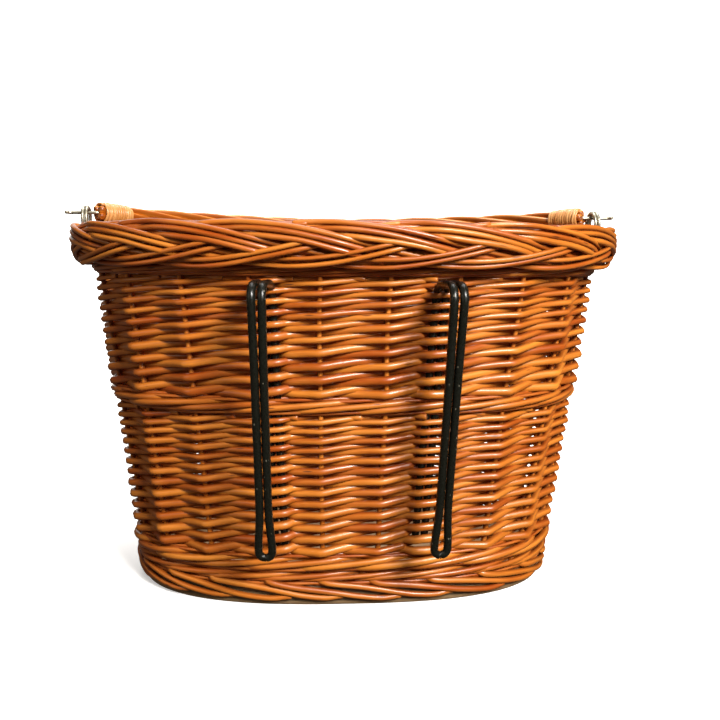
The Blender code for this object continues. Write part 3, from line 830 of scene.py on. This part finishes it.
def board(material):
    """The oval plywood board with eased edges."""
    low, high = band("base_board")
    count = BOARD_STEPS
    share = np.arange(count) / count
    rows = [(offset, low + depth) for offset, depth in BOARD_PROFILE]
    rows += [(offset, high - depth) for offset, depth in BOARD_PROFILE[::-1]]
    points = np.vstack([plan(share, z, offset)[0] for offset, z in rows])
    faces = []
    for row in range(len(rows) - 1):
        under = row * count
        over = under + count
        for k in range(count):
            j = (k + 1) % count
            faces.append((under + k, under + j, over + j, over + k))
    faces.append(tuple(range(count))[::-1])
    faces.append(tuple(range(len(points) - count, len(points))))
    mesh = bpy.data.meshes.new("board_ply")
    mesh.from_pydata((points * MM).tolist(), [], faces)
    mesh.materials.append(material)
    mesh.shade_smooth()
    mesh.set_sharp_from_angle(angle=math.radians(50.0))
    piece = new_object("board_ply", mesh)
    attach(piece, "basket")
    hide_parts("base_board")


# ---- hooks

HOOK_RADIUS = 2.6
HOOK_LATERAL = 54.5
HOOK_REACH = 39.5
HOOK_SPLAY = 4.0
HOOK_FOOT = 46.0
HOOK_CREST = 224.2
HOOK_BEND = 11.0
HOOK_STRAIGHT = HOOK_CREST - HOOK_BEND
HOOK_LEG_HALF = 3.1
# The outer legs are pinched together by this much each, over this length under the bend.
HOOK_PINCH = 0.4
HOOK_PINCH_LENGTH = 40.0
HOOK_LOOP_HALF = 4.4
HOOK_LOOP_LOW = 50.5
# The height at which the outer legs part towards the loop.
HOOK_LOOP_PARTS = 84.0
HOOK_LOOP_STEPS = 15


def hook_share(side):
    """How far round the oval a hook's middle stands."""
    shares = np.linspace(0.0, 0.25, 2501)
    xs = plan(shares, HOOK_CREST, 0.0)[0][:, 0]
    return side * float(np.interp(HOOK_LATERAL, xs, shares))


def bend_rows(centre, start, end):
    """A quarter bend of the hook's wire as (offset, z, half spacing)."""
    rows = []
    for turn in np.radians(np.linspace(start, end, 13)):
        offset = centre + HOOK_BEND * math.cos(turn)
        rows.append((offset, HOOK_STRAIGHT + HOOK_BEND * math.sin(turn), HOOK_LEG_HALF))
    return rows


def hook_side():
    """One side of a hook as (offset, z, half spacing), from the inner leg's foot to the loop.

    Each stretch starts about one step, a few millimetres, past the end of the one before.
    """
    rows = [(0.0, z, HOOK_LEG_HALF) for z in np.linspace(HOOK_FOOT, HOOK_STRAIGHT - 4.0, 30)]
    rows += bend_rows(HOOK_BEND, 180.0, 90.0)
    rows += bend_rows(HOOK_REACH - HOOK_BEND, 90.0, 0.0)
    for z in np.linspace(HOOK_STRAIGHT - 6.0, HOOK_LOOP_PARTS, 24):
        pinch = HOOK_PINCH * min(1.0, (HOOK_STRAIGHT - z) / HOOK_PINCH_LENGTH)
        rows.append((HOOK_REACH, z, HOOK_LEG_HALF - pinch))
    loop_top = HOOK_LOOP_LOW + HOOK_LOOP_HALF
    widening = HOOK_LOOP_HALF - HOOK_LEG_HALF + HOOK_PINCH
    for z in np.linspace(HOOK_LOOP_PARTS - 5.0, loop_top + 1.5, 7):
        share = eased((HOOK_LOOP_PARTS - z) / (HOOK_LOOP_PARTS - loop_top))
        rows.append((HOOK_REACH, z, HOOK_LEG_HALF - HOOK_PINCH + share * widening))
    return rows


def hook(name, side, material):
    """One bent, coated rod: up inside the wall, over the bar gap, down outside, round the loop and back."""
    share = hook_share(side)
    rows = hook_side()

    def place(lateral, offset, z):
        if offset > HOOK_REACH - 0.01:
            down = max(HOOK_STRAIGHT - z, 0.0)
            lateral = lateral + side * HOOK_SPLAY * down / (HOOK_STRAIGHT - HOOK_LOOP_LOW)
        base, out = plan(share, z, offset)
        return base + np.array((-out[1], out[0], 0.0)) * lateral

    path = [place(-half, offset, z) for offset, z, half in rows]
    for turn in np.linspace(0.0, math.pi, HOOK_LOOP_STEPS):
        z = HOOK_LOOP_LOW + HOOK_LOOP_HALF * (1.0 - math.sin(turn))
        path.append(place(-HOOK_LOOP_HALF * math.cos(turn), HOOK_REACH, z))
    path += [place(half, offset, z) for offset, z, half in rows[::-1]]
    path = smooth(path, 2)
    out = plan(share, HOOK_CREST, 0.0)[1]
    random = np.random.default_rng(71 + side)
    radius = HOOK_RADIUS * (1.0 + uneven(random, len(path), spacing=5, size=0.03))
    wire = Bundle()
    wire.add(path, radius, (-out[1], out[0], 0.0), random.random(), 16)
    wire.finish(name + "_hook_wire", material, "basket", name + "_hook")


# ---- handle

PIVOT = np.array(frame["joints"][0]["pos_m"]) / MM
PIVOT_X = 188.6
BOW_REACH = 142.5
RODS = 4
ROD_RADIUS = 2.6
ROD_OFFSET_MID = 3.45
ROD_OFFSET_END = 3.85
ROD_START = 2.0
ROD_STEPS = 230
ROD_TWIST_LENGTH = 170.0
END_LENGTH = 42.0
# How high above the rim's top the bow's line lies where it is farthest from the pins.
BOW_LIFT = 7.05
RIM_TOP = band("rim_border")[1]
BINDING_START = 1.5
BINDING_END = 29.5
WRAPS = 12
WRAP_STEPS = 24
WRAP_SIDES = 10
# The wraps' centre line lies on a cone round the bundle that swells a little in its middle.
CONE_WIDE = 7.3
CONE_TAPER = 1.35
CONE_SWELL = 0.35
CANE_RADIUS = 0.9
CANE_FLATNESS = 1.6
# The last wrap is tucked in under the others.
TUCK_STEPS = 8
TUCK_DEPTH = 1.2
LEAD_START = 2.2
LEAD_LENGTH = 5.0
LEAD_STEPS = 40
LEAD_OFFSET = 7.6
LEAD_FLATNESS = 1.3
WIRE_RADIUS = 1.3
WIRE_SIDES = 14
PIN_TIP_X = 211.0
PIN_TIP_BEND = 4.5
PIN_INSIDE = 26.0
PIN_STEPS = 60
RING_RADIUS = 9.0
RING_ABOVE_PIN = 5.5
RING_TURNS = 2
RING_TURN_STEPS = 40
RING_PITCH = 2.7
RING_X = 197.0


def bow_table():
    """The bow's middle line from the left pin to the right one, and the distance along it."""
    drop = PIVOT[2] - (RIM_TOP + BOW_LIFT)
    xs = np.linspace(-PIVOT_X, PIVOT_X, 2001)
    ys = BOW_REACH * np.cos(math.pi * xs / (2.0 * PIVOT_X))
    line = np.stack([xs, ys, PIVOT[2] - drop * ys / BOW_REACH], axis=1)
    along = np.concatenate([[0.0], np.cumsum(np.linalg.norm(np.diff(line, axis=0), axis=1))])
    return line, along


BOW, BOW_ALONG = bow_table()
BOW_LENGTH = float(BOW_ALONG[-1])


def bow_frame(distance):
    """Points of the bow at distances from the left pin, with two directions across it."""
    distance = np.asarray(distance, float)
    inside = np.clip(distance, 0.0, BOW_LENGTH)

    def read(where):
        return np.stack([np.interp(where, BOW_ALONG, BOW[:, i]) for i in range(3)], axis=-1)

    ahead = read(np.minimum(inside + 1.0, BOW_LENGTH)) - read(np.maximum(inside - 1.0, 0.0))
    direction = unit_rows(ahead)
    point = read(inside) + direction * (distance - inside)[..., None]
    up = np.array((0.0, 0.0, 1.0))
    first = unit_rows(up - direction * direction[..., 2:3])
    return point, first, np.cross(direction, first)


def from_pin(distance, side):
    """Distances from a side's own pin, as distances from the left pin."""
    return distance if side < 0 else BOW_LENGTH - distance


def round_bow(distance, offset, turn):
    """The bow's middle line, a path round it, and the direction that turns are counted from."""
    point, first, second = bow_frame(distance)
    path = point + first * (offset * np.cos(turn))[:, None] + second * (offset * np.sin(turn))[:, None]
    return point, path, first


def handle_rods(material, cut):
    """Four twisted rods with their bare ends standing out past the bindings."""
    count = ROD_STEPS
    for index in range(RODS):
        random = np.random.default_rng(83 + index)
        tail = random.uniform(0.8, 2.4, 2)
        distance = np.linspace(ROD_START - tail[0], BOW_LENGTH - ROD_START + tail[1], count)
        near = np.minimum(distance, BOW_LENGTH - distance)
        end = 1.0 - np.clip(near / END_LENGTH, 0.0, 1.0)
        offset = ROD_OFFSET_MID + (ROD_OFFSET_END - ROD_OFFSET_MID) * end
        turn = TURN * ((index + 0.5) / RODS + distance / ROD_TWIST_LENGTH)
        turn = turn + uneven(random, count, spacing=40, size=0.12)
        path, first = round_bow(distance, offset, turn)[1:]
        radius = ROD_RADIUS * (1.0 + uneven(random, count, spacing=30, size=0.05))
        rod = Bundle()
        rod.add(path, radius, first, random.random(), 12)
        node = "handle_rod_%d" % (index + 1)
        rod.finish(node + "_willow", material, "handle", node, cut)


def binding(name, side, material):
    """Cane wound round the end of the bundle in close turns, widest next to the pin, and a slanting lead."""
    random = np.random.default_rng(97 + side)
    count = WRAPS * WRAP_STEPS
    share = np.linspace(0.0, 1.0, count)
    distance = BINDING_START + 1.0 + (BINDING_END - BINDING_START - 2.0) * share
    turn = TURN * WRAPS * share * side + 0.6
    cone = CONE_WIDE - CONE_TAPER * share + CONE_SWELL * np.sin(math.pi * share)
    cone = cone + uneven(random, count, spacing=18, size=0.25)
    cone[-TUCK_STEPS:] -= np.linspace(0.0, TUCK_DEPTH, TUCK_STEPS)
    middle, path, _ = round_bow(from_pin(distance, side), cone, turn)
    wrap = Bundle()
    wrap.add(path, CANE_RADIUS, unit_rows(path - middle), random.random(), WRAP_SIDES, squash=CANE_FLATNESS)
    lead = np.linspace(0.0, 1.0, LEAD_STEPS)
    distance = BINDING_START + LEAD_START + LEAD_LENGTH * lead
    turn = TURN * (0.15 + 0.75 * lead) * side
    middle, path, _ = round_bow(from_pin(distance, side), LEAD_OFFSET, turn)
    wrap.add(path, CANE_RADIUS, unit_rows(path - middle), random.random(), WRAP_SIDES, squash=LEAD_FLATNESS)
    wrap.finish(name + "_binding_cane", material, "handle", name + "_binding")


def pin(name, side, material):
    """The hinge wire: out of the bundle's middle, along the hinge line, to a bent tip."""
    inside = bow_frame(from_pin(np.array((PIN_INSIDE, PIN_INSIDE * 0.5, 3.0, 1.0)), side))[0]
    outside = (
        # distance from the middle of the basket, and how far the tip bends towards the hooks
        (PIVOT_X + 0.8, 0.0),
        (PIVOT_X + 6.0, 0.0),
        (PIN_TIP_X - 6.0, 0.0),
        (PIN_TIP_X - 2.6, 0.1),
        (PIN_TIP_X - 0.8, 1.3),
        (PIN_TIP_X, PIN_TIP_BEND),
    )
    route = [(side * x, -bend, PIVOT[2]) for x, bend in outside]
    path = spline(np.vstack([inside, route]), PIN_STEPS)
    wire = Bundle()
    wire.add(path, WIRE_RADIUS, (0.0, 0.0, 1.0), 0.3 + 0.1 * side, WIRE_SIDES)
    wire.finish(name + "_pin_wire", material, "handle", name + "_pin")


def coil_ring(name, side, material):
    """Two turns of wire round the hinge pin and the rim's top strands."""
    centre = np.array((side * RING_X, 0.0, PIVOT[2] + RING_ABOVE_PIN - RING_RADIUS - WIRE_RADIUS))
    share = np.linspace(0.0, 1.0, RING_TURNS * RING_TURN_STEPS + 1)
    turn = TURN * RING_TURNS * share - math.pi / 2.0
    x = RING_PITCH * RING_TURNS * (share - 0.5)
    path = centre + np.stack([x, RING_RADIUS * np.cos(turn), RING_RADIUS * np.sin(turn)], axis=1)
    wire = Bundle()
    wire.add(path, WIRE_RADIUS, (1.0, 0.0, 0.0), 0.5 + 0.2 * side, WIRE_SIDES)
    wire.finish(name + "_ring_wire", material, "basket", name + "_ring")


# ---- studio

# In metres, but LENS and SENSOR in millimetres.
LENS = 41.3
SENSOR = 36.0
EYE = Vector((-0.0310, -0.6504, 0.2393))
LOOK = Vector((0.0671, 0.9978, 0.0)).normalized()
PITCH = 0.122
ROLL = math.radians(0.44)
FLOOR_REACH = 1.6
SWEEP_RADIUS = 1.4
SWEEP_STEPS = 12
WALL_HEIGHT = 6.0
SPOKES = 72
FLOOR_GLOW = 0.45
WALL_GLOW = 0.95
BASKET_MIDDLE = (0.0, 0.0, 0.15)
WALL_MIDDLE = (0.0, 3.0, 0.6)
LIGHTS = (
    # name, place, target, size, power in watts, colour
    ("key", (0.70, -1.46, 1.12), BASKET_MIDDLE, 0.6, 71.0, (1.0, 0.97, 0.93)),
    ("fill", (-1.6, -0.9, 0.8), BASKET_MIDDLE, 1.2, 4.0, (1.0, 0.92, 0.80)),
    ("back", (-0.3, 1.7, 0.7), BASKET_MIDDLE, 1.6, 10.0, (1.0, 0.95, 0.88)),
    ("top", (0.2, 0.3, 2.2), BASKET_MIDDLE, 1.2, 14.0, (1.0, 0.99, 0.97)),
    ("backdrop", (0.0, 1.1, 2.6), WALL_MIDDLE, 2.4, 130.0, (1.0, 1.0, 1.0)),
)
ROOM_COLOUR = (1.0, 0.80, 0.58, 1.0)
ROOM_STRENGTH = 0.10


def camera():
    """The view of the side with the hooks, from a little above the rim."""
    data = bpy.data.cameras.new("camera")
    data.lens = LENS
    data.sensor_width = SENSOR
    data.clip_start = 0.05
    data.clip_end = 50.0
    eye = new_object("camera", data)
    ahead = LOOK * math.cos(PITCH) + Vector((0.0, 0.0, -math.sin(PITCH)))
    right = ahead.cross(Vector((0.0, 0.0, 1.0))).normalized()
    up = right.cross(ahead)
    rolled_right = right * math.cos(ROLL) + up * math.sin(ROLL)
    rolled_up = up * math.cos(ROLL) - right * math.sin(ROLL)
    turn = Matrix((rolled_right, rolled_up, -ahead)).transposed()
    eye.matrix_world = Matrix.Translation(EYE) @ turn.to_4x4()
    bpy.context.scene.camera = eye


def backdrop():
    """A pale floor that sweeps up all round the basket. It glows a little, so that it stays pale far away."""
    profile = [(FLOOR_REACH, 0.0)]
    for k in range(1, SWEEP_STEPS + 1):
        turn = math.radians(90.0 * k / SWEEP_STEPS)
        profile.append((FLOOR_REACH + SWEEP_RADIUS * math.sin(turn), SWEEP_RADIUS * (1.0 - math.cos(turn))))
    profile.append((FLOOR_REACH + SWEEP_RADIUS, WALL_HEIGHT))
    points = []
    for reach, height in profile:
        for k in range(SPOKES):
            turn = TURN * k / SPOKES
            points.append((reach * math.cos(turn), reach * math.sin(turn), height))
    faces = [tuple(range(SPOKES))]
    for row in range(len(profile) - 1):
        low = row * SPOKES
        high = low + SPOKES
        for k in range(SPOKES):
            j = (k + 1) % SPOKES
            faces.append((low + k, high + k, high + j, low + j))
    mesh = bpy.data.meshes.new("floor")
    mesh.from_pydata(points, [], faces)
    mesh.shade_smooth()
    for name, glow in (("pale_floor", FLOOR_GLOW), ("pale_wall", WALL_GLOW)):
        material, _, shader = new_material(name)
        shader.inputs["Base Color"].default_value = PALE
        shader.inputs["Roughness"].default_value = 0.9
        shader.inputs["Specular IOR Level"].default_value = 0.1
        shader.inputs["Emission Color"].default_value = WHITE
        shader.inputs["Emission Strength"].default_value = glow
        mesh.materials.append(material)
    mesh.polygons.foreach_set("material_index", [0] + [1] * (len(faces) - 1))
    floor = new_object("floor", mesh)
    floor.visible_diffuse = False
    floor.visible_glossy = False
    floor.visible_shadow = False


def studio():
    """The backdrop, the lights and a faint warm light from all round."""
    backdrop()
    for name, place, target, size, power, colour in LIGHTS:
        data = bpy.data.lights.new(name, "AREA")
        data.shape = "DISK"
        data.size = size
        data.energy = power
        data.color = colour
        lamp = new_object(name, data)
        lamp.location = place
        lamp.rotation_mode = "QUATERNION"
        lamp.rotation_quaternion = (Vector(place) - Vector(target)).to_track_quat("Z", "Y")
    world = bpy.data.worlds.new("studio")
    world.use_nodes = True
    ground = world.node_tree.nodes["Background"]
    ground.inputs["Color"].default_value = ROOM_COLOUR
    ground.inputs["Strength"].default_value = ROOM_STRENGTH
    bpy.context.scene.world = world
    bpy.context.scene.view_settings.view_transform = "Standard"


def build():
    willow = willow_material("willow", DARK_WILLOW, LIGHT_WILLOW, RED_WILLOW, roughness=0.36, coat=0.14)
    bow_willow = willow_material("bow_willow", DARK_BOW, LIGHT_BOW, RED_BOW, roughness=0.34, coat=0.16)
    cut = cut_end_material("cut_willow")
    cane = cane_material("split_cane")
    black = coated_wire_material("black_coat")
    zinc = zinc_material("zinc_wire")
    board(plywood_material("plywood"))
    stakes(willow)
    foot_border(willow, cut)
    foot_wale(willow, cut)
    siding("lower_siding", willow, cut, levels=26, tip_ratio=0.63, press=1.30, seed=11)
    mid_wale(willow, cut)
    siding("upper_siding", willow, cut, levels=20, tip_ratio=0.60, press=1.23, seed=23)
    top_wale(willow, cut)
    rim(willow, cut)
    for name, side in (("left", -1), ("right", 1)):
        hook(name, side, black)
        binding(name, side, cane)
        pin(name, side, zinc)
        coil_ring(name, side, zinc)
    handle_rods(bow_willow, cut)
    camera()
    studio()


build()
